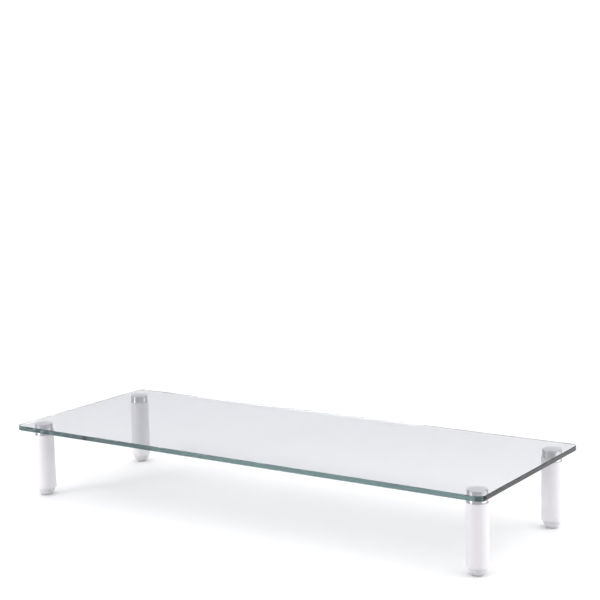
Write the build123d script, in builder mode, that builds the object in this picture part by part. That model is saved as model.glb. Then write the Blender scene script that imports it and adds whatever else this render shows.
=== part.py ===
"""Monitor riser: a clear tempered glass shelf on four white pillar legs with screw-in levelling feet.

Millimetres. +X runs along the shelf, +Y towards its back, +Z up. The origin is the centre of the
footprint, on the surface that the feet stand on, with every foot screwed fully in.

Each leg is a stack of turned pieces on one upright axis, listed from the top:
    a film of clear adhesive, which bonds the leg's boss to the underside of the glass
    a polished metal boss, tapped from below
    a threaded stud, which joins the boss to the leg
    a brass insert in the head of the leg tube
    the moulded leg tube
    an end plug in the foot of the tube, with a smaller brass insert
    the levelling foot's threaded stem
    the levelling foot's soft dome
"""

import os

from build123d import *

# Shelf
SHELF_LENGTH = 560.0
SHELF_DEPTH = 210.0
SHELF_THICKNESS = 5.0
SHELF_TOP = 80.5
SHELF_UNDERSIDE = SHELF_TOP - SHELF_THICKNESS
SHELF_CORNER_RADIUS = 8.0
SHELF_ARRIS = 0.4

# Where the legs stand, measured in from the shelf's ends and from its long edges
LEG_INSET_X = 17.5
LEG_INSET_Y = 25.0
LEG_X = SHELF_LENGTH / 2 - LEG_INSET_X
LEG_Y = SHELF_DEPTH / 2 - LEG_INSET_Y
LEG_PLACES = {
    "front_left": (-LEG_X, -LEG_Y),
    "front_right": (LEG_X, -LEG_Y),
    "back_left": (-LEG_X, LEG_Y),
    "back_right": (LEG_X, LEG_Y),
}

# Fits
FIXED_GAP = 0.02  # radial, between pieces that never move on each other
RUNNING_GAP = 0.05  # radial, between pieces that turn on each other

# Adhesive film and boss
FILM_RADIUS = 9.2
FILM_THICKNESS = 0.2
BOSS_RADIUS = 9.5
BOSS_TOP = SHELF_UNDERSIDE - FILM_THICKNESS
BOSS_HEIGHT = 7.3
BOSS_BOTTOM = BOSS_TOP - BOSS_HEIGHT
BOSS_CHAMFER = 0.4
BOSS_TAP_DEPTH = 6.0

# Stud from boss to leg, M8
STUD_RADIUS = 4.0
STUD_PITCH = 1.25
STUD_LENGTH = 20.0
STUD_TIP_GAP = 0.4
STUD_TOP = BOSS_BOTTOM + BOSS_TAP_DEPTH - STUD_TIP_GAP
STUD_SOCKET_RADIUS = 2.3
STUD_SOCKET_DEPTH = 4.0

# Leg tube
LEG_RADIUS = 10.5
LEG_TOP = BOSS_BOTTOM
LEG_BOTTOM = 8.2
LEG_CORE_RADIUS = 7.75
LEG_HEAD_THICKNESS = 14.0
LEG_RIM_RADIUS = 0.7

# Brass insert in the leg's head
HEAD_INSERT_RADIUS = 6.0
HEAD_INSERT_LENGTH = 12.0
INSERT_GROOVE_WIDTH = 1.2
INSERT_GROOVE_DEPTH = 0.5

# End plug and its brass insert
PLUG_RECESS = 0.5
PLUG_LENGTH = 12.0
PLUG_BOTTOM = LEG_BOTTOM + PLUG_RECESS
FOOT_INSERT_RADIUS = 4.5
FOOT_INSERT_LENGTH = 10.0
STEM_CLEARANCE_RADIUS = 3.4

# Levelling foot, M6 stem
STEM_RADIUS = 3.0
STEM_PITCH = 1.0
STEM_TOP = 24.0
STEM_HEAD_RADIUS = 6.0
STEM_HEAD_BOTTOM = 3.0
STEM_HEAD_THICKNESS = 2.0
DOME_RADIUS = 8.8
DOME_GAP = 0.3
DOME_TOP = LEG_BOTTOM - DOME_GAP
DOME_SOLE_RADIUS = 2.6
DOME_CHAMFER = 0.4

THREAD_DEPTH_SHARE = 0.55  # depth of a thread's groove as a share of its pitch


def leg_axis(place):
    """The upright axis that all of a leg's pieces share."""
    x, y = LEG_PLACES[place]
    return Axis((x, y, 0), (0, 0, 1))


def profile_plane(place):
    """The upright plane through a leg's axis: its x is the radius and its y is the height."""
    x, y = LEG_PLACES[place]
    return Plane(origin=(x, y, 0), x_dir=(1, 0, 0), z_dir=(0, -1, 0))


def thread_points(radius, pitch, bottom, top):
    """The edge of a screw's half section from its bottom to its top. Its grooves are rings."""
    root = radius - THREAD_DEPTH_SHARE * pitch
    points = [(root, bottom)]
    height = bottom + pitch / 2
    while height + pitch / 2 < top:
        points.append((radius, height - pitch / 8))
        points.append((radius, height + pitch / 8))
        points.append((root, height + pitch / 2))
        height += pitch
    return points + [(root, top)]


def save(piece, name):
    """Labels a finished piece and writes it to its own file."""
    piece.part.label = name
    export_step(piece.part, f"parts/{name}.step")


def make_shelf():
    """The tempered glass sheet, with round corners and a narrow polished arris on both faces."""
    with BuildPart() as shelf:
        with BuildSketch(Plane.XY.offset(SHELF_UNDERSIDE)):
            RectangleRounded(SHELF_LENGTH, SHELF_DEPTH, SHELF_CORNER_RADIUS)
        extrude(amount=SHELF_THICKNESS)
        faces = shelf.faces().filter_by(Axis.Z)
        chamfer(faces.edges(), SHELF_ARRIS)
    save(shelf, "glass_shelf")


def make_film(place):
    """The cured film of clear adhesive between the glass and the boss."""
    x, y = LEG_PLACES[place]
    with BuildPart() as film:
        with BuildSketch(Plane((x, y, BOSS_TOP))):
            Circle(FILM_RADIUS)
        extrude(amount=FILM_THICKNESS)
    save(film, f"adhesive_film_{place}")


def make_boss(place):
    """The polished boss under the glass, with a blind tapped hole that opens downwards."""
    x, y = LEG_PLACES[place]
    with BuildPart() as boss:
        with BuildSketch(Plane((x, y, BOSS_BOTTOM))):
            Circle(BOSS_RADIUS)
        extrude(amount=BOSS_HEIGHT)
        chamfer(boss.edges().filter_by(GeomType.CIRCLE), BOSS_CHAMFER)
        with BuildSketch(Plane((x, y, BOSS_BOTTOM))):
            Circle(STUD_RADIUS + FIXED_GAP)
        extrude(amount=BOSS_TAP_DEPTH, mode=Mode.SUBTRACT)
    save(boss, f"mount_boss_{place}")


def make_stud(place):
    """The threaded stud, half in the boss and half in the leg, with a hexagon socket below."""
    x, y = LEG_PLACES[place]
    bottom = STUD_TOP - STUD_LENGTH
    with BuildPart() as stud:
        with BuildSketch(profile_plane(place)):
            with BuildLine():
                points = thread_points(STUD_RADIUS, STUD_PITCH, bottom, STUD_TOP)
                Polyline((0, bottom), *points, (0, STUD_TOP), close=True)
            make_face()
        revolve(axis=leg_axis(place))
        with BuildSketch(Plane((x, y, bottom))):
            RegularPolygon(STUD_SOCKET_RADIUS, 6)
        extrude(amount=STUD_SOCKET_DEPTH, mode=Mode.SUBTRACT)
    save(stud, f"leg_stud_{place}")


def make_insert(place, name, radius, bore, bottom, length):
    """A brass insert, moulded into plastic that grips the two grooves round it."""
    top = bottom + length
    waist = radius - INSERT_GROOVE_DEPTH
    with BuildPart() as insert:
        with BuildSketch(profile_plane(place)):
            with BuildLine():
                outline = [(bore, bottom), (radius, bottom)]
                for share in (1 / 3, 2 / 3):
                    low = bottom + share * length - INSERT_GROOVE_WIDTH / 2
                    high = low + INSERT_GROOVE_WIDTH
                    outline += [(radius, low), (waist, low), (waist, high), (radius, high)]
                Polyline(*outline, (radius, top), (bore, top), close=True)
            make_face()
        revolve(axis=leg_axis(place))
    save(insert, f"{name}_{place}")


def make_leg_tube(place):
    """The moulded leg: a thick head round its insert, and a cored tube that is open below."""
    head_bottom = LEG_TOP - LEG_HEAD_THICKNESS
    insert_bottom = LEG_TOP - HEAD_INSERT_LENGTH
    insert_hole = HEAD_INSERT_RADIUS + FIXED_GAP
    stud_hole = STUD_RADIUS + 2 * RUNNING_GAP
    with BuildPart() as tube:
        with BuildSketch(profile_plane(place)):
            with BuildLine():
                Polyline(
                    (LEG_CORE_RADIUS, LEG_BOTTOM),
                    (LEG_RADIUS, LEG_BOTTOM),
                    (LEG_RADIUS, LEG_TOP),
                    (insert_hole, LEG_TOP),
                    (insert_hole, insert_bottom),
                    (stud_hole, insert_bottom),
                    (stud_hole, head_bottom),
                    (LEG_CORE_RADIUS, head_bottom),
                    close=True,
                )
            make_face()
        revolve(axis=leg_axis(place))
        outside = tube.faces().filter_by(GeomType.CYLINDER).sort_by(SortBy.AREA)[-1]
        fillet(outside.edges().filter_by(GeomType.CIRCLE), LEG_RIM_RADIUS)
    save(tube, f"leg_tube_{place}")


def make_end_plug(place):
    """The bush that closes the tube's foot and carries the lower insert."""
    insert_hole = FOOT_INSERT_RADIUS + FIXED_GAP
    insert_top = PLUG_BOTTOM + FOOT_INSERT_LENGTH
    with BuildPart() as plug:
        with BuildSketch(profile_plane(place)):
            with BuildLine():
                Polyline(
                    (insert_hole, PLUG_BOTTOM),
                    (LEG_CORE_RADIUS - FIXED_GAP, PLUG_BOTTOM),
                    (LEG_CORE_RADIUS - FIXED_GAP, PLUG_BOTTOM + PLUG_LENGTH),
                    (STEM_CLEARANCE_RADIUS, PLUG_BOTTOM + PLUG_LENGTH),
                    (STEM_CLEARANCE_RADIUS, insert_top),
                    (insert_hole, insert_top),
                    close=True,
                )
            make_face()
        revolve(axis=leg_axis(place))
    save(plug, f"leg_end_plug_{place}")


def make_foot_stem(place):
    """The levelling foot's steel stem: a thread above a round head that the dome holds."""
    head_top = STEM_HEAD_BOTTOM + STEM_HEAD_THICKNESS
    with BuildPart() as stem:
        with BuildSketch(profile_plane(place)):
            with BuildLine():
                Polyline(
                    (0, STEM_HEAD_BOTTOM),
                    (STEM_HEAD_RADIUS, STEM_HEAD_BOTTOM),
                    (STEM_HEAD_RADIUS, head_top),
                    (STEM_RADIUS, head_top),
                    (STEM_RADIUS, DOME_TOP),
                    *thread_points(STEM_RADIUS, STEM_PITCH, DOME_TOP, STEM_TOP),
                    (0, STEM_TOP),
                    close=True,
                )
            make_face()
        revolve(axis=leg_axis(place))
    save(stem, f"foot_stem_{place}")


def make_foot_dome(place):
    """The soft dome that stands on the table, with a closed pocket round the stem's head."""
    arc_rise = DOME_TOP - DOME_CHAMFER
    arc_run = DOME_RADIUS - DOME_SOLE_RADIUS
    arc_radius = (arc_run**2 + arc_rise**2) / (2 * arc_run)
    arc_centre = DOME_RADIUS - arc_radius
    half_way = arc_radius * 0.5**0.5
    pocket = STEM_HEAD_RADIUS + RUNNING_GAP
    pocket_bottom = STEM_HEAD_BOTTOM - RUNNING_GAP
    pocket_top = STEM_HEAD_BOTTOM + STEM_HEAD_THICKNESS + RUNNING_GAP
    neck = STEM_RADIUS + RUNNING_GAP
    with BuildPart() as dome:
        with BuildSketch(profile_plane(place)):
            with BuildLine():
                Line((0, 0), (DOME_SOLE_RADIUS, 0))
                ThreePointArc(
                    (DOME_SOLE_RADIUS, 0),
                    (arc_centre + half_way, arc_rise - half_way),
                    (DOME_RADIUS, arc_rise),
                )
                Polyline(
                    (DOME_RADIUS, arc_rise),
                    (DOME_RADIUS - DOME_CHAMFER, DOME_TOP),
                    (neck, DOME_TOP),
                    (neck, pocket_top),
                    (pocket, pocket_top),
                    (pocket, pocket_bottom),
                    (0, pocket_bottom),
                    (0, 0),
                )
            make_face()
        revolve(axis=leg_axis(place))
    save(dome, f"foot_dome_{place}")


def make_leg(place):
    """Every piece of one leg."""
    make_film(place)
    make_boss(place)
    make_stud(place)
    make_insert(
        place,
        "head_insert",
        HEAD_INSERT_RADIUS,
        STUD_RADIUS + FIXED_GAP,
        LEG_TOP - HEAD_INSERT_LENGTH,
        HEAD_INSERT_LENGTH,
    )
    make_leg_tube(place)
    make_end_plug(place)
    make_insert(
        place,
        "foot_insert",
        FOOT_INSERT_RADIUS,
        STEM_RADIUS + RUNNING_GAP,
        PLUG_BOTTOM,
        FOOT_INSERT_LENGTH,
    )
    make_foot_stem(place)
    make_foot_dome(place)


os.makedirs("parts", exist_ok=True)
make_shelf()
for leg_place in LEG_PLACES:
    make_leg(leg_place)
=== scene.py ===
"""A clear glass monitor riser on four white pillar legs: its looks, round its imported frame.

Metres, in the frame's own axes: +X along the shelf, +Y towards its back and +Z up. Each leg is a
stack of turned pieces, so every leg piece is an outline of (radius, height) points that is revolved
about its leg's axis. Radii and heights come from the frame's boxes, and the small sizes that a box
doesn't give are named below. All pieces of one leg are made by dress_leg().
"""

from math import atan, cos, pi, radians, sin, tan, tau

import bmesh
import bpy
from mathutils import Euler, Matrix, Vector


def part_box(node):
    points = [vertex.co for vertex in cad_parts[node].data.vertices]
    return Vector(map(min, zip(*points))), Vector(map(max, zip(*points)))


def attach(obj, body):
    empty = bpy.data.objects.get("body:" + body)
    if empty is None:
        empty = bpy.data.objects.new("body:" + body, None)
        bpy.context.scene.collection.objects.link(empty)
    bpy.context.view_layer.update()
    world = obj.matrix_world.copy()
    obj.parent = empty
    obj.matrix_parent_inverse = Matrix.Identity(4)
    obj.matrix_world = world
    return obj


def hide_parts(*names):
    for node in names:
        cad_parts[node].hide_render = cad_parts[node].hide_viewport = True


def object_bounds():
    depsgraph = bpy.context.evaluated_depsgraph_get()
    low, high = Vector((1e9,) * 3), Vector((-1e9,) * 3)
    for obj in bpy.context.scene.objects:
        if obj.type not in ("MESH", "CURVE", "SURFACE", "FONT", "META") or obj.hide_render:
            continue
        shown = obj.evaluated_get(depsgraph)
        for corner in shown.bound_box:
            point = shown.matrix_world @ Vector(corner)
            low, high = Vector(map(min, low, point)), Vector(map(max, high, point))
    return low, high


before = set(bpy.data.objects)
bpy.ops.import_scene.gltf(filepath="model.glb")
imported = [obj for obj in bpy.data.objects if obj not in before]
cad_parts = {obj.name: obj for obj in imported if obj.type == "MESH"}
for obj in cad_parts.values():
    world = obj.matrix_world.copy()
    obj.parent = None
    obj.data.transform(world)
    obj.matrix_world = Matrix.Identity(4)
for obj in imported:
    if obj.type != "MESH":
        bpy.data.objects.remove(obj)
cad_low, cad_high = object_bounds()

MM = 0.001
PLACES = ("front_left", "front_right", "back_left", "back_right")

# How finely round things are divided
AROUND = 96
AROUND_THREAD = 48
ARC_STEPS = 5

# Shelf
CORNER_RADIUS = 8 * MM
CORNER_STEPS = 20
ARRIS = 0.4 * MM
ARRIS_ROUNDING = 0.12 * MM
EDGE_CROWN = 0.05 * MM
FACE_MARGIN = 1.2 * MM

# Adhesive film
FILM_GAP = 0.01 * MM
FILM_ROUNDING = 0.06 * MM
FILM_UNEVENNESS = 0.15 * MM

# Fits that the frame's boxes don't give
FIXED_GAP = 0.02 * MM
STUD_HOLE_GAP = 0.1 * MM
RUNNING_GAP = 0.05 * MM
STEM_CLEARANCE = 0.4 * MM

# Boss
BOSS_TOP_ROUNDING = 0.35 * MM
BOSS_LOWER_ROUNDING = 0.3 * MM
BOSS_TAP_DEPTH = 6 * MM
BOSS_TAP_LEAD_IN = 0.25 * MM
BOSS_DRILL_CONE = 0.6 * MM

# Leg tube
HEAD_THICKNESS = 14 * MM
TUBE_RIM_ROUNDING = 0.7 * MM
TUBE_CORE_ROUNDING = 1.2 * MM

# Roundings of edges that are only broken
FINE_ROUNDING = 0.05 * MM
SEAT_ROUNDING = 0.15 * MM
HOLE_ROUNDING = 0.1 * MM

# Threads and the steel parts
STUD_PITCH = 1.25 * MM
STEM_RADIUS = 3 * MM
STEM_PITCH = 1.0 * MM
THREAD_DEPTH_SHARE = 0.55
ROWS_PER_PITCH = 8
THREAD_CREST_SHARE = 0.15
THREAD_FLANK_SHARE = 0.7
SOCKET_ACROSS_CORNERS = 4.6 * MM
SOCKET_DEPTH = 4 * MM
SOCKET_LEAD_IN = 0.3 * MM
SOCKET_CONE = 0.8 * MM
STEM_HEAD_RADIUS = 6 * MM
STEM_HEAD_THICKNESS = 2 * MM
STEM_HEAD_ROUNDING = 0.4 * MM
STEM_FILLET = 0.3 * MM
SHANK_UNDERSIZE = 0.02 * MM
SHANK_END = 0.1 * MM

# Brass inserts
KNURL_COUNT = 28
KNURL_DEPTH = 0.22 * MM
KNURL_LENGTH = 1.3 * MM
KNURL_END = 0.2 * MM
GROOVE_WIDTH = 1.2 * MM
GROOVE_DEPTH = 0.5 * MM
INSERT_CHAMFER = 0.4 * MM

# End plug
RIB_COUNT = 8
RIB_HEIGHT = 0.25 * MM
RIB_STEEPNESS = 4
PLUG_LOWER_ROUNDING = 0.3 * MM
PLUG_UPPER_ROUNDING = 0.5 * MM
PLUG_BORE_ROUNDING = 0.2 * MM

# Dome
SOLE_RADIUS = 2.6 * MM
SOLE_DISH_DEPTH = 0.25 * MM
DOME_EDGE_ROUNDING = 0.4 * MM
DOME_STEPS = 25

# Camera: where it stands, which way it looks, and its lens for a 36 mm wide sensor
CAMERA_PLACE = (0.82732, -1.18901, 0.43858)
CAMERA_TURN = 34.05
CAMERA_TILT = 8.57
CAMERA_ROLL = -1.39
CAMERA_LENS = 86.33

# Studio. Light runs the length of the shelf inside the glass before it leaves an edge, which takes
# many bounces.
FLOOR_REACH = 12.0
FLOOR_LAP_X = 200 * MM
FLOOR_LAP_Y = 60 * MM
FLOOR_LAP_DEPTH = 8 * MM
FLOOR_LAP_STEPS = 16
GLASS_BOUNCES = 40

# The sky's colours, each from the sine of its elevation, and how bright it is
SKY = (
    (0.0, (0.52, 0.52, 0.52)),
    (0.07, (0.52, 0.52, 0.52)),
    (0.13, (0.235, 0.23, 0.26)),
    (0.4, (0.16, 0.155, 0.18)),
    (0.6, (0.16, 0.155, 0.18)),
    (0.75, (1.0, 1.0, 1.0)),
    (1.0, (1.0, 1.0, 1.0)),
)
SKY_STRENGTH = 1.98

# Soft lights: azimuth, elevation, width, height and radiance. Azimuth 0 is in front of the shelf, and
# 90 is right of it.
SOFTBOX_DISTANCE = 1.8
SOFTBOXES = {
    "softbox_left": (-36, 5.5, 0.55, 0.4, 30.0),
    "softbox_right": (108, 5.5, 2.2, 0.4, 9.5),
}


# ---------------------------------------------------------------- frame


def leg_axis(place):
    """Where a leg's upright axis meets the floor."""
    low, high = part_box(f"leg_tube_{place}")
    return Vector(((low.x + high.x) / 2, (low.y + high.y) / 2, 0))


def round_size(node):
    """A turned node's largest radius, its bottom and its top."""
    low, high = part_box(node)
    return (high.x - low.x) / 2, low.z, high.z


# ---------------------------------------------------------------- outlines


def rounded(points, closed=True):
    """Expands an outline of (radius, height) or (radius, height, rounding) points into arcs."""
    made = []
    for i, point in enumerate(points):
        corner = Vector(point[:2])
        rounding = point[2] if len(point) > 2 else 0
        if not rounding or (not closed and i in (0, len(points) - 1)):
            made.append(corner)
            continue
        to_last = (Vector(points[i - 1][:2]) - corner).normalized()
        to_next = (Vector(points[(i + 1) % len(points)][:2]) - corner).normalized()
        half = to_last.angle(to_next) / 2
        centre = corner + (to_last + to_next).normalized() * rounding / sin(half)
        start = corner + to_last * rounding / tan(half) - centre
        end = corner + to_next * rounding / tan(half) - centre
        sweep = pi - 2 * half
        for step in range(ARC_STEPS + 1):
            share = step / ARC_STEPS
            spoke = start * sin(sweep * (1 - share)) + end * sin(sweep * share)
            made.append(centre + spoke / sin(sweep))
    return made


def rows(radius, bottom, top, step):
    """Points up a straight side, close enough together to carry a pattern."""
    count = max(1, round((top - bottom) / step))
    return [(radius, bottom + (top - bottom) * i / count) for i in range(count + 1)]


def thread(radius, pitch):
    """A right-hand thread's change of radius at a height and an angle: flat crests and vee grooves."""
    depth = THREAD_DEPTH_SHARE * pitch

    def change(angle, point):
        if abs(point[0] - radius) > MM / 100:
            return 0
        phase = (point[1] / pitch - angle / tau) % 1
        slope = abs(phase - 0.5) * 2
        return -depth * min(max((slope - THREAD_CREST_SHARE) / THREAD_FLANK_SHARE, 0), 1)

    return change


def knurl(radius, length):
    """A diamond knurl's change of radius."""

    def change(angle, point):
        if abs(point[0] - radius) > MM / 100:
            return 0
        rising = sin(KNURL_COUNT / 2 * angle + pi * point[1] / length)
        falling = sin(KNURL_COUNT / 2 * angle - pi * point[1] / length)
        return KNURL_DEPTH * (abs(rising * falling) - 1)

    return change


def ribs(radius):
    """Narrow upright crush ribs: the wall between them lies a little lower."""

    def change(angle, point):
        if abs(point[0] - radius) > MM / 100:
            return 0
        return -RIB_HEIGHT * min(1, abs(sin(RIB_COUNT / 2 * angle)) * RIB_STEEPNESS)

    return change


# ---------------------------------------------------------------- meshes


def make_object(name, vertices, faces, material):
    """A smooth closed mesh object, with normals that keep its flat faces flat."""
    mesh = bpy.data.meshes.new(name)
    mesh.from_pydata([tuple(v) for v in vertices], [], faces)
    shape = bmesh.new()
    shape.from_mesh(mesh)
    bmesh.ops.remove_doubles(shape, verts=shape.verts, dist=1e-7)
    bmesh.ops.recalc_face_normals(shape, faces=shape.faces)
    shape.to_mesh(mesh)
    shape.free()
    mesh.shade_smooth()
    mesh.materials.append(material)
    made = bpy.data.objects.new(name, mesh)
    bpy.context.scene.collection.objects.link(made)
    weighted = made.modifiers.new("Flat faces stay flat", "WEIGHTED_NORMAL")
    weighted.keep_sharp = True
    return made


def skin(loops, closed):
    """Vertices and faces of a surface over loops of equal length. A loop of one point is a pole."""
    vertices = []
    starts = []
    for loop in loops:
        starts.append(len(vertices))
        vertices.extend(loop)
    faces = []
    count = max(len(loop) for loop in loops)
    for i in range(len(loops) if closed else len(loops) - 1):
        j = (i + 1) % len(loops)
        for k in range(count):
            n = (k + 1) % count
            here = [starts[i]] if len(loops[i]) == 1 else [starts[i] + k, starts[i] + n]
            there = [starts[j]] if len(loops[j]) == 1 else [starts[j] + n, starts[j] + k]
            faces.append(here + there)
    return vertices, faces


def circle(point, around, change=None):
    """A loop of an outline's point about the axis."""
    radius, height = point
    if radius < 1e-9:
        return [Vector((0, 0, height))]
    loop = []
    for k in range(around):
        angle = tau * k / around
        r = radius + (change(angle, point) if change else 0)
        loop.append(Vector((r * cos(angle), r * sin(angle), height)))
    return loop


def polygon_loop(corner_radius, sides, height, around):
    """A loop along a regular polygon, with its points at the same angles as a circle's."""
    loop = []
    for k in range(around):
        angle = tau * k / around
        beside = angle % (tau / sides) - pi / sides
        r = corner_radius * cos(pi / sides) / cos(beside)
        loop.append(Vector((r * cos(angle), r * sin(angle), height)))
    return loop


def turned(name, outline, material, around=AROUND, change=None, closed=True):
    """An object revolved from an outline. An open outline starts and ends on the axis."""
    loops = [circle(point, around, change) for point in outline]
    return make_object(name, *skin(loops, closed), material)


def dress(piece, place, node, body):
    """Puts a leg piece on its leg, in the place of its CAD node."""
    piece.location = leg_axis(place)
    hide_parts(f"{node}_{place}")
    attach(piece, body)


# ---------------------------------------------------------------- shader kit


def set_ramp(ramp, stops):
    """Gives a colour ramp its (position, colour) stops."""
    elements = ramp.color_ramp.elements
    while len(elements) < len(stops):
        elements.new(0.5)
    for element, (position, colour) in zip(elements, stops):
        element.position = position
        element.color = (*colour, 1)


class Look:
    """A procedural material round one Principled shader."""

    def __init__(self, name, **sockets):
        self.material = bpy.data.materials.new(name)
        self.material.use_nodes = True
        self.tree = self.material.node_tree
        self.shader = self.tree.nodes["Principled BSDF"]
        for socket, value in sockets.items():
            self.shader.inputs[socket.replace("_", " ")].default_value = value
        self.place = self.add("ShaderNodeTexCoord").outputs["Object"]

    def add(self, kind, links=None, settings=None, **values):
        """Adds a node, with its links, its settings and its constant inputs."""
        made = self.tree.nodes.new(kind)
        for key, value in (settings or {}).items():
            setattr(made, key, value)
        for key, value in values.items():
            made.inputs[key.replace("_", " ")].default_value = value
        for key, output in (links or {}).items():
            self.tree.links.new(output, made.inputs[key])
        return made

    def noise(self, scale, detail=3.0, stretch=None):
        """Noise of the object's own coordinates. Scale is in waves a metre."""
        where = self.place
        if stretch:
            where = self.add("ShaderNodeMapping", {"Vector": where}, Scale=stretch).outputs["Vector"]
        return self.add("ShaderNodeTexNoise", {"Vector": where}, Scale=scale, Detail=detail).outputs["Fac"]

    def between(self, value, low, high, start=0.3, end=0.7):
        """Maps a value's middle range onto low to high."""
        node = self.add("ShaderNodeMapRange", {"Value": value})
        for key, number in zip(("From Min", "From Max", "To Min", "To Max"), (start, end, low, high)):
            node.inputs[key].default_value = number
        return node.outputs["Result"]

    def maths(self, operation, first, second=None):
        """One sum. Either side is an output or a number."""
        node = self.add("ShaderNodeMath", settings={"operation": operation})
        for socket, value in zip(node.inputs, (first, second)):
            if isinstance(value, bpy.types.NodeSocket):
                self.tree.links.new(value, socket)
            elif value is not None:
                socket.default_value = value
        return node.outputs["Value"]

    def colours(self, value, *stops):
        """A colour ramp through (position, colour) stops into the base colour."""
        ramp = self.add("ShaderNodeValToRGB", {"Fac": value})
        set_ramp(ramp, stops)
        self.tree.links.new(ramp.outputs["Color"], self.shader.inputs["Base Color"])

    def roughness(self, value):
        self.tree.links.new(value, self.shader.inputs["Roughness"])

    def bump(self, *layers):
        """Bumps, each a height output and its size in metres, one on top of the other."""
        normal = None
        for height, size in layers:
            links = {"Height": height}
            if normal:
                links["Normal"] = normal
            normal = self.add("ShaderNodeBump", links, Strength=1.0, Distance=size).outputs["Normal"]
        self.tree.links.new(normal, self.shader.inputs["Normal"])

    def grain_along_z(self, pitch):
        """Fine rings round a turned piece, from its lathe's feed."""
        height = self.add("ShaderNodeSeparateXYZ", {"Vector": self.place}).outputs["Z"]
        wander = self.maths("MULTIPLY", self.noise(220), pitch * 3)
        turns = self.maths("DIVIDE", self.maths("ADD", height, wander), pitch / tau)
        return self.maths("SINE", turns)


# ---------------------------------------------------------------- materials


def glass_look():
    """Clear tempered float glass: its green body shows at the belt-ground edges, and its arrises carry a
    painted shade, a darker tint in place of the dark lines light makes there.
    """
    look = Look("float_glass", Base_Color=(1, 1, 1, 1), IOR=1.52, Transmission_Weight=1.0)
    normal = look.add("ShaderNodeNewGeometry").outputs["Normal"]
    up = look.add("ShaderNodeSeparateXYZ", {"Vector": normal}).outputs["Z"]
    level = look.maths("ABSOLUTE", up)
    edge = look.between(level, 1, 0, 0.35, 0.9)
    # Painted shade: the rounded arrises between the faces and the edge get a darker grey-green tint, in
    # place of the dark lines that refraction and reflection make there.
    above_edge = look.between(level, 0, 1, 0.25, 0.5)
    below_face = look.between(level, 1, 0, 0.85, 0.98)
    painted_arris_shade = look.maths("MULTIPLY", above_edge, below_face)
    look.colours(painted_arris_shade, (0.0, (1, 1, 1)), (1.0, (0.62, 0.66, 0.67)))
    smears = look.between(look.noise(9, 4.0), 0.0, 0.012, 0.45, 0.75)
    grinding = look.between(look.noise(900, 2.0, (1, 1, 0.2)), 0.02, 0.09)
    look.roughness(look.maths("ADD", smears, look.maths("MULTIPLY", edge, grinding)))
    roller_wave = look.noise(6, 1.0, (1, 0.25, 1))
    look.bump((roller_wave, 0.02 * MM))
    absorption = look.add("ShaderNodeVolumeAbsorption", Color=(0.0, 0.25, 0.25, 1), Density=9.2)
    output = look.tree.nodes["Material Output"]
    look.tree.links.new(absorption.outputs["Volume"], output.inputs["Volume"])
    return look.material


def boss_look():
    """Polished turned metal, with a blasted face where it is bonded to the glass."""
    look = Look("turned_metal", Metallic=1.0, Anisotropic=1.0, Anisotropic_Rotation=0.25)
    look.colours(look.noise(60), (0.3, (0.45, 0.45, 0.46)), (0.7, (0.50, 0.50, 0.51)))
    tangent = look.add("ShaderNodeTangent", settings={"direction_type": "RADIAL", "axis": "Z"})
    look.tree.links.new(tangent.outputs["Tangent"], look.shader.inputs["Tangent"])
    normal = look.add("ShaderNodeNewGeometry").outputs["Normal"]
    up = look.add("ShaderNodeSeparateXYZ", {"Vector": normal}).outputs["Z"]
    bonded = look.between(up, 0, 0.4, 0.9, 0.99)
    polish = look.between(look.noise(400, 4.0, (1, 1, 6)), 0.36, 0.41)
    look.roughness(look.maths("ADD", polish, bonded))
    look.bump((look.grain_along_z(0.12 * MM), 0.0006 * MM), (look.noise(1500), 0.001 * MM))
    return look.material


def leg_look():
    """White semi-gloss moulded plastic with a faint orange peel."""
    look = Look("leg_plastic", Specular_IOR_Level=0.5, Coat_Weight=0.25, Coat_Roughness=0.12)
    look.colours(look.noise(35), (0.3, (0.545, 0.535, 0.55)), (0.7, (0.575, 0.565, 0.58)))
    look.roughness(look.between(look.noise(180, 5.0), 0.28, 0.4))
    look.bump((look.noise(420, 2.0), 0.012 * MM), (look.noise(3200, 2.0), 0.002 * MM))
    return look.material


def dome_look():
    """Soft, slightly milky rubber."""
    look = Look(
        "dome_rubber",
        Subsurface_Weight=0.5,
        Subsurface_Radius=(1, 1, 1.05),
        Subsurface_Scale=2.5 * MM,
        Specular_IOR_Level=0.45,
    )
    look.colours(look.noise(260, 4.0), (0.3, (0.46, 0.455, 0.465)), (0.7, (0.52, 0.515, 0.525)))
    look.roughness(look.between(look.noise(500, 4.0), 0.38, 0.55))
    look.bump((look.noise(1400, 3.0), 0.01 * MM))
    return look.material


def plug_look():
    """Matt moulded plastic with a fine spark-eroded grain."""
    look = Look("bush_plastic", Specular_IOR_Level=0.4)
    look.colours(look.noise(120), (0.3, (0.74, 0.74, 0.73)), (0.7, (0.80, 0.80, 0.79)))
    look.roughness(look.between(look.noise(700, 4.0), 0.55, 0.72))
    look.bump((look.noise(2600, 3.0), 0.02 * MM))
    return look.material


def brass_look():
    """Turned brass, a little tarnished in its hollows."""
    look = Look("turned_brass", Metallic=1.0)
    look.colours(look.noise(500, 4.0), (0.3, (0.52, 0.36, 0.15)), (0.7, (0.83, 0.65, 0.33)))
    look.roughness(look.between(look.noise(900, 3.0), 0.2, 0.38))
    look.bump((look.grain_along_z(0.15 * MM), 0.002 * MM))
    return look.material


def steel_look():
    """Zinc-plated steel: pale, bluish and cloudy."""
    look = Look("zinc_plated_steel", Metallic=1.0)
    look.colours(look.noise(350, 4.0), (0.3, (0.50, 0.52, 0.56)), (0.7, (0.70, 0.70, 0.70)))
    look.roughness(look.between(look.noise(1200, 4.0), 0.22, 0.42))
    look.bump((look.noise(5000, 2.0), 0.004 * MM))
    return look.material


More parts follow.
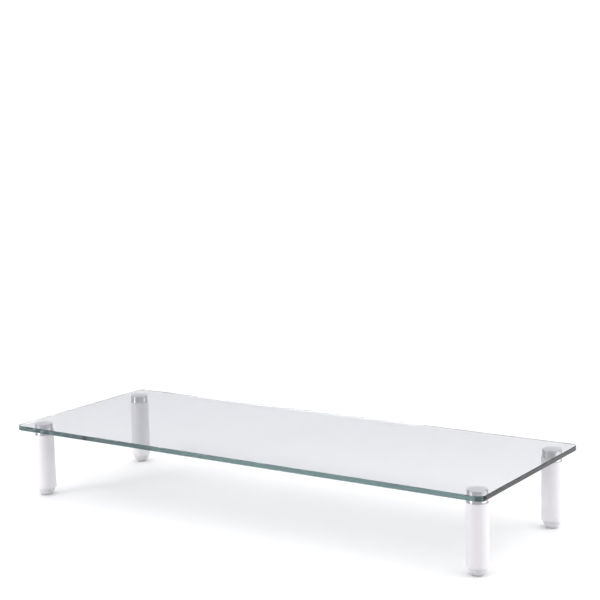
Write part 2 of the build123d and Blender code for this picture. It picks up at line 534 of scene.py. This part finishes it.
def adhesive_look():
    """Cured adhesive, milky where it keys to the metal, with a few tiny bubbles."""
    look = Look("cured_adhesive", Specular_IOR_Level=0.0)
    cells = look.add("ShaderNodeTexVoronoi", {"Vector": look.place}, Scale=900).outputs["Distance"]
    bubbles = look.between(cells, 1, 0, 0.05, 0.2)
    look.colours(look.noise(150), (0.3, (0.93, 0.93, 0.93)), (0.7, (0.97, 0.97, 0.97)))
    look.roughness(look.between(look.noise(300, 3.0), 0.6, 0.8))
    look.bump((bubbles, 0.004 * MM))
    return look.material


def floor_look():
    """A plain pale studio floor."""
    look = Look("studio_floor", Specular_IOR_Level=0.1)
    look.colours(look.noise(3, 2.0), (0.3, (0.895, 0.895, 0.895)), (0.7, (0.905, 0.905, 0.905)))
    look.roughness(look.between(look.noise(40, 3.0), 0.7, 0.8))
    return look.material


# ---------------------------------------------------------------- shelf


def shelf_loop(inset, height):
    """The shelf's outline, moved in from its edges by inset."""
    radius = CORNER_RADIUS - inset
    loop = []
    for quarter in range(4):
        side_x = 1 if quarter in (0, 3) else -1
        side_y = 1 if quarter in (0, 1) else -1
        centre_x = side_x * (cad_high.x - CORNER_RADIUS)
        centre_y = side_y * (cad_high.y - CORNER_RADIUS)
        for step in range(CORNER_STEPS + 1):
            angle = pi / 2 * (quarter + step / CORNER_STEPS)
            loop.append(Vector((centre_x + radius * cos(angle), centre_y + radius * sin(angle), height)))
    return loop


def make_shelf(glass):
    """The glass sheet: flat faces, rounded arrises and a very slightly crowned edge."""
    low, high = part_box("glass_shelf")
    middle = (low.z + high.z) / 2
    lower_half = rounded(
        [
            (FACE_MARGIN, low.z),
            (ARRIS, low.z, ARRIS_ROUNDING),
            (EDGE_CROWN, low.z + ARRIS, ARRIS_ROUNDING),
            (0, middle),
        ],
        closed=False,
    )
    upper_half = [(inset, 2 * middle - height) for inset, height in reversed(lower_half[:-1])]
    loops = [shelf_loop(*point) for point in [*lower_half, *upper_half]]
    vertices, faces = skin(loops, closed=False)
    count = len(loops[0])
    faces.append(list(range(count)))
    faces.append(list(range(len(vertices) - count, len(vertices))))
    shelf = make_object("tempered_glass_sheet", vertices, faces, glass)
    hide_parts("glass_shelf")
    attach(shelf, "stand")


# ---------------------------------------------------------------- leg pieces


def make_film(place, looks):
    """The adhesive, pressed out to a slightly uneven round edge."""
    radius, bottom, top = round_size(f"adhesive_film_{place}")
    lower = bottom + FILM_GAP
    upper = top - FILM_GAP

    def uneven(angle, point):
        wave = sin(3 * angle + 1) * 0.5 + sin(7 * angle) * 0.3 - 0.8
        return FILM_UNEVENNESS * wave * point[0] / radius

    outline = rounded(
        [
            (0, lower),
            (radius, lower, FILM_ROUNDING),
            (radius, upper, FILM_ROUNDING),
            (0, upper),
        ],
        closed=False,
    )
    film = turned(f"glue_film_{place}", outline, looks["adhesive"], change=uneven, closed=False)
    dress(film, place, "adhesive_film", "stand")


def make_boss(place, looks):
    """The polished boss, with a tapped blind hole that a drill's cone ends."""
    radius, bottom, top = round_size(f"mount_boss_{place}")
    bore = round_size(f"leg_stud_{place}")[0] + FIXED_GAP
    hole_top = bottom + BOSS_TAP_DEPTH
    outline = rounded(
        [
            (0, top),
            (radius, top, BOSS_TOP_ROUNDING),
            (radius, bottom, BOSS_LOWER_ROUNDING),
            (bore + BOSS_TAP_LEAD_IN, bottom, FINE_ROUNDING),
            (bore, bottom + BOSS_TAP_LEAD_IN, FINE_ROUNDING),
            (bore, hole_top - BOSS_DRILL_CONE),
            (bore - BOSS_DRILL_CONE, hole_top),
            (0, hole_top),
        ],
        closed=False,
    )
    boss = turned(f"polished_boss_{place}", outline, looks["boss"], closed=False)
    dress(boss, place, "mount_boss", "stand")


def make_stud(place, looks):
    """The stud: a right-hand helical thread, chamfered ends and a hexagon socket below."""
    radius, bottom, top = round_size(f"leg_stud_{place}")
    root = radius - THREAD_DEPTH_SHARE * STUD_PITCH
    chamfer = radius - root
    outline = [
        *rows(radius, bottom + chamfer, top - chamfer, STUD_PITCH / ROWS_PER_PITCH),
        (root, top),
        (0, top),
    ]
    change = thread(radius, STUD_PITCH)
    loops = [circle(point, AROUND_THREAD, change) for point in outline]
    across = SOCKET_ACROSS_CORNERS / 2
    mouth = circle((across + SOCKET_LEAD_IN, bottom), AROUND_THREAD)
    lead_in = polygon_loop(across, 6, bottom + SOCKET_LEAD_IN, AROUND_THREAD)
    floor = polygon_loop(across, 6, bottom + SOCKET_DEPTH, AROUND_THREAD)
    tip = [Vector((0, 0, bottom + SOCKET_DEPTH + SOCKET_CONE))]
    loops = [tip, floor, lead_in, mouth, circle((root, bottom), AROUND_THREAD), *loops]
    stud = make_object(f"threaded_stud_{place}", *skin(loops, closed=False), looks["steel"])
    dress(stud, place, "leg_stud", "stand")


def make_insert(place, looks, node, name, bore):
    """A brass insert: three knurled bands between two grooves, and a chamfered bore."""
    radius, bottom, top = round_size(f"{node}_{place}")
    length = top - bottom
    waist = radius - GROOVE_DEPTH
    edges = [bottom]
    for share in (1 / 3, 2 / 3):
        edges.append(bottom + share * length - GROOVE_WIDTH / 2)
        edges.append(bottom + share * length + GROOVE_WIDTH / 2)
    edges.append(top)
    outline = [
        (bore, top - INSERT_CHAMFER),
        (bore, bottom + INSERT_CHAMFER),
        (bore + INSERT_CHAMFER, bottom),
    ]
    for low, high in zip(edges[::2], edges[1::2]):
        outline.append((waist, low))
        outline.extend(rows(radius, low + KNURL_END, high - KNURL_END, KNURL_LENGTH / 6))
        outline.append((waist, high))
    outline.append((bore + INSERT_CHAMFER, top))
    change = knurl(radius, KNURL_LENGTH)
    insert = turned(f"{name}_{place}", outline, looks["brass"], KNURL_COUNT * 6, change)
    dress(insert, place, node, "stand")


def make_tube(place, looks):
    """The moulded leg: rounded rims, a thick head and a cored body."""
    radius, bottom, top = round_size(f"leg_tube_{place}")
    core = round_size(f"leg_end_plug_{place}")[0] + FIXED_GAP
    insert_radius, insert_bottom, _ = round_size(f"head_insert_{place}")
    insert_hole = insert_radius + FIXED_GAP
    stud_hole = round_size(f"leg_stud_{place}")[0] + STUD_HOLE_GAP
    head_bottom = top - HEAD_THICKNESS
    outline = rounded(
        [
            (core, bottom, 0.2 * MM),
            (radius, bottom, TUBE_RIM_ROUNDING),
            (radius, top, TUBE_RIM_ROUNDING),
            (insert_hole, top, SEAT_ROUNDING),
            (insert_hole, insert_bottom),
            (stud_hole, insert_bottom, HOLE_ROUNDING),
            (stud_hole, head_bottom, 0.3 * MM),
            (core, head_bottom, TUBE_CORE_ROUNDING),
        ]
    )
    tube = turned(f"pillar_{place}", outline, looks["leg"])
    dress(tube, place, "leg_tube", "stand")


def make_plug(place, looks):
    """The end plug, with crush ribs that hold it in the tube."""
    radius, bottom, top = round_size(f"leg_end_plug_{place}")
    insert_radius, _, insert_top = round_size(f"foot_insert_{place}")
    insert_hole = insert_radius + FIXED_GAP
    clearance = STEM_RADIUS + STEM_CLEARANCE
    outline = rounded(
        [
            (insert_hole, bottom, SEAT_ROUNDING),
            (radius, bottom, PLUG_LOWER_ROUNDING),
            (radius, top, PLUG_UPPER_ROUNDING),
            (clearance, top, PLUG_BORE_ROUNDING),
            (clearance, insert_top, HOLE_ROUNDING),
            (insert_hole, insert_top),
        ]
    )
    plug = turned(f"end_bush_{place}", outline, looks["plug"], change=ribs(radius))
    dress(plug, place, "leg_end_plug", "stand")


def make_stem(place, looks):
    """The levelling stem: a helical thread over a plain shank and a round head."""
    _, bottom, top = round_size(f"foot_stem_{place}")
    radius = STEM_RADIUS
    root = radius - THREAD_DEPTH_SHARE * STEM_PITCH
    chamfer = radius - root
    head_top = bottom + STEM_HEAD_THICKNESS
    shank_top = round_size(f"foot_dome_{place}")[2]
    outline = rounded(
        [
            (0, bottom),
            (STEM_HEAD_RADIUS, bottom, STEM_HEAD_ROUNDING),
            (STEM_HEAD_RADIUS, head_top, STEM_HEAD_ROUNDING),
            (radius - SHANK_UNDERSIZE, head_top, STEM_FILLET),
            (radius - SHANK_UNDERSIZE, shank_top),
        ],
        closed=False,
    )
    outline.extend(rows(radius, shank_top + SHANK_END, top - chamfer, STEM_PITCH / ROWS_PER_PITCH))
    outline.extend([(root, top), (0, top)])
    stem = turned(
        f"levelling_stem_{place}",
        outline,
        looks["steel"],
        AROUND_THREAD,
        thread(radius, STEM_PITCH),
        closed=False,
    )
    dress(stem, place, "foot_stem", f"stem_{place}")


def make_dome(place, looks):
    """The soft dome: a near half ball with a small flat sole, moulded round the stem's head."""
    radius, bottom, top = round_size(f"foot_dome_{place}")
    rise = top - DOME_EDGE_ROUNDING - bottom
    run = radius - SOLE_RADIUS
    arc_radius = (run**2 + rise**2) / (2 * run)
    centre = radius - arc_radius
    arc_end = atan((SOLE_RADIUS - centre) / rise)
    arc = []
    for step in range(DOME_STEPS + 1):
        angle = arc_end + (pi / 2 - arc_end) * step / DOME_STEPS
        arc.append((centre + arc_radius * sin(angle), bottom + rise - arc_radius * cos(angle)))
    _, head_bottom, _ = round_size(f"foot_stem_{place}")
    pocket = STEM_HEAD_RADIUS + RUNNING_GAP
    pocket_bottom = head_bottom - RUNNING_GAP
    pocket_top = head_bottom + STEM_HEAD_THICKNESS + RUNNING_GAP
    neck = STEM_RADIUS + RUNNING_GAP
    rim = rounded(
        [
            (radius, bottom + rise),
            (radius, top, DOME_EDGE_ROUNDING),
            (neck, top, SEAT_ROUNDING),
            (neck, pocket_top),
        ],
        closed=False,
    )
    outline = [
        (0, bottom + SOLE_DISH_DEPTH),
        (SOLE_RADIUS * 0.5, bottom + SOLE_DISH_DEPTH),
        (SOLE_RADIUS * 0.6, bottom),
        *arc,
        *rim,
        (pocket, pocket_top),
        (pocket, pocket_bottom),
        (0, pocket_bottom),
    ]
    dome = turned(f"dome_foot_{place}", outline, looks["dome"], closed=False)
    dress(dome, place, "foot_dome", f"foot_{place}")


def dress_leg(place, looks):
    """Every piece of one leg."""
    make_film(place, looks)
    make_boss(place, looks)
    make_stud(place, looks)
    stud_radius = round_size(f"leg_stud_{place}")[0]
    make_insert(place, looks, "head_insert", "upper_insert", stud_radius + FIXED_GAP)
    make_tube(place, looks)
    make_plug(place, looks)
    make_insert(place, looks, "foot_insert", "lower_insert", STEM_RADIUS + RUNNING_GAP)
    make_stem(place, looks)
    make_dome(place, looks)


# ---------------------------------------------------------------- studio


def floor_stops(lap):
    """Places across a quarter of the floor, from under its neighbour outwards, and how far each has sunk."""
    shares = [step / FLOOR_LAP_STEPS for step in range(FLOOR_LAP_STEPS, -1, -1)]
    return [*((-lap * share, share) for share in shares), (FLOOR_REACH, 0)]


def make_floor(look):
    """The floor in four quarters. Each follows the foot that stands on it as it is screwed out.

    Past its inner sides a quarter slopes down under its neighbours, so a foot that is screwed out alone
    stands in a shallow dip without steps at its sides.
    """
    across = floor_stops(FLOOR_LAP_X)
    along = floor_stops(FLOOR_LAP_Y)
    row = len(along)
    faces = []
    for i in range(len(across) - 1):
        for k in range(row - 1):
            first = i * row + k
            faces.append((first, first + 1, first + row + 1, first + row))
    for place in PLACES:
        axis = leg_axis(place)
        side_x = 1 if axis.x > 0 else -1
        side_y = 1 if axis.y > 0 else -1
        vertices = []
        for x, sunk_x in across:
            for y, sunk_y in along:
                sunk = max(sunk_x, sunk_y)
                depth = FLOOR_LAP_DEPTH * sunk**2 * (3 - 2 * sunk)
                vertices.append((side_x * x, side_y * y, -depth))
        mesh = bpy.data.meshes.new(f"floor_{place}")
        mesh.from_pydata(vertices, [], faces)
        mesh.shade_smooth()
        mesh.materials.append(look)
        quarter = bpy.data.objects.new(f"floor_{place}", mesh)
        bpy.context.scene.collection.objects.link(quarter)
        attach(quarter, f"stem_{place}")


def make_world():
    """Soft light from all round: pale at the horizon, greyer above it and brightest overhead."""
    world = bpy.data.worlds.new("studio")
    world.use_nodes = True
    bpy.context.scene.world = world
    nodes = world.node_tree.nodes
    links = world.node_tree.links
    where = nodes.new("ShaderNodeTexCoord")
    split = nodes.new("ShaderNodeSeparateXYZ")
    ramp = nodes.new("ShaderNodeValToRGB")
    links.new(where.outputs["Generated"], split.inputs["Vector"])
    links.new(split.outputs["Z"], ramp.inputs["Fac"])
    set_ramp(ramp, SKY)
    background = nodes["Background"]
    links.new(ramp.outputs["Color"], background.inputs["Color"])
    background.inputs["Strength"].default_value = SKY_STRENGTH


def make_softbox(name, azimuth, elevation, width, height, radiance):
    """A rectangular soft light that faces the object."""
    across = radians(azimuth)
    up = radians(elevation)
    light = bpy.data.lights.new(name, "AREA")
    light.shape = "RECTANGLE"
    light.size = width
    light.size_y = height
    light.energy = radiance * pi * width * height
    box = bpy.data.objects.new(name, light)
    centre = (cad_low + cad_high) / 2
    away = Vector((sin(across) * cos(up), -cos(across) * cos(up), sin(up)))
    box.location = centre + away * SOFTBOX_DISTANCE
    box.rotation_euler = (-away).to_track_quat("-Z", "Y").to_euler()
    box.visible_camera = False
    bpy.context.scene.collection.objects.link(box)


def make_camera():
    """The camera at the photograph's viewing angle."""
    lens = bpy.data.cameras.new("camera")
    lens.sensor_width = 36
    lens.lens = CAMERA_LENS
    camera = bpy.data.objects.new("camera", lens)
    camera.location = CAMERA_PLACE
    level = Euler((radians(90 - CAMERA_TILT), 0, radians(CAMERA_TURN))).to_matrix()
    camera.rotation_euler = (level @ Euler((0, 0, radians(CAMERA_ROLL))).to_matrix()).to_euler()
    bpy.context.scene.collection.objects.link(camera)
    bpy.context.scene.camera = camera


def make_studio():
    """The camera, the floor and the lights, and how the renderer treats them."""
    make_camera()
    make_floor(floor_look())
    make_world()
    for name, values in SOFTBOXES.items():
        make_softbox(name, *values)
    scene = bpy.context.scene
    scene.view_settings.view_transform = "Standard"
    scene.cycles.max_bounces = GLASS_BOUNCES
    scene.cycles.glossy_bounces = GLASS_BOUNCES
    scene.cycles.transmission_bounces = GLASS_BOUNCES


make_studio()
make_shelf(glass_look())
leg_looks = {
    "adhesive": adhesive_look(),
    "boss": boss_look(),
    "steel": steel_look(),
    "brass": brass_look(),
    "leg": leg_look(),
    "plug": plug_look(),
    "dome": dome_look(),
}
for leg_place in PLACES:
    dress_leg(leg_place, leg_looks)
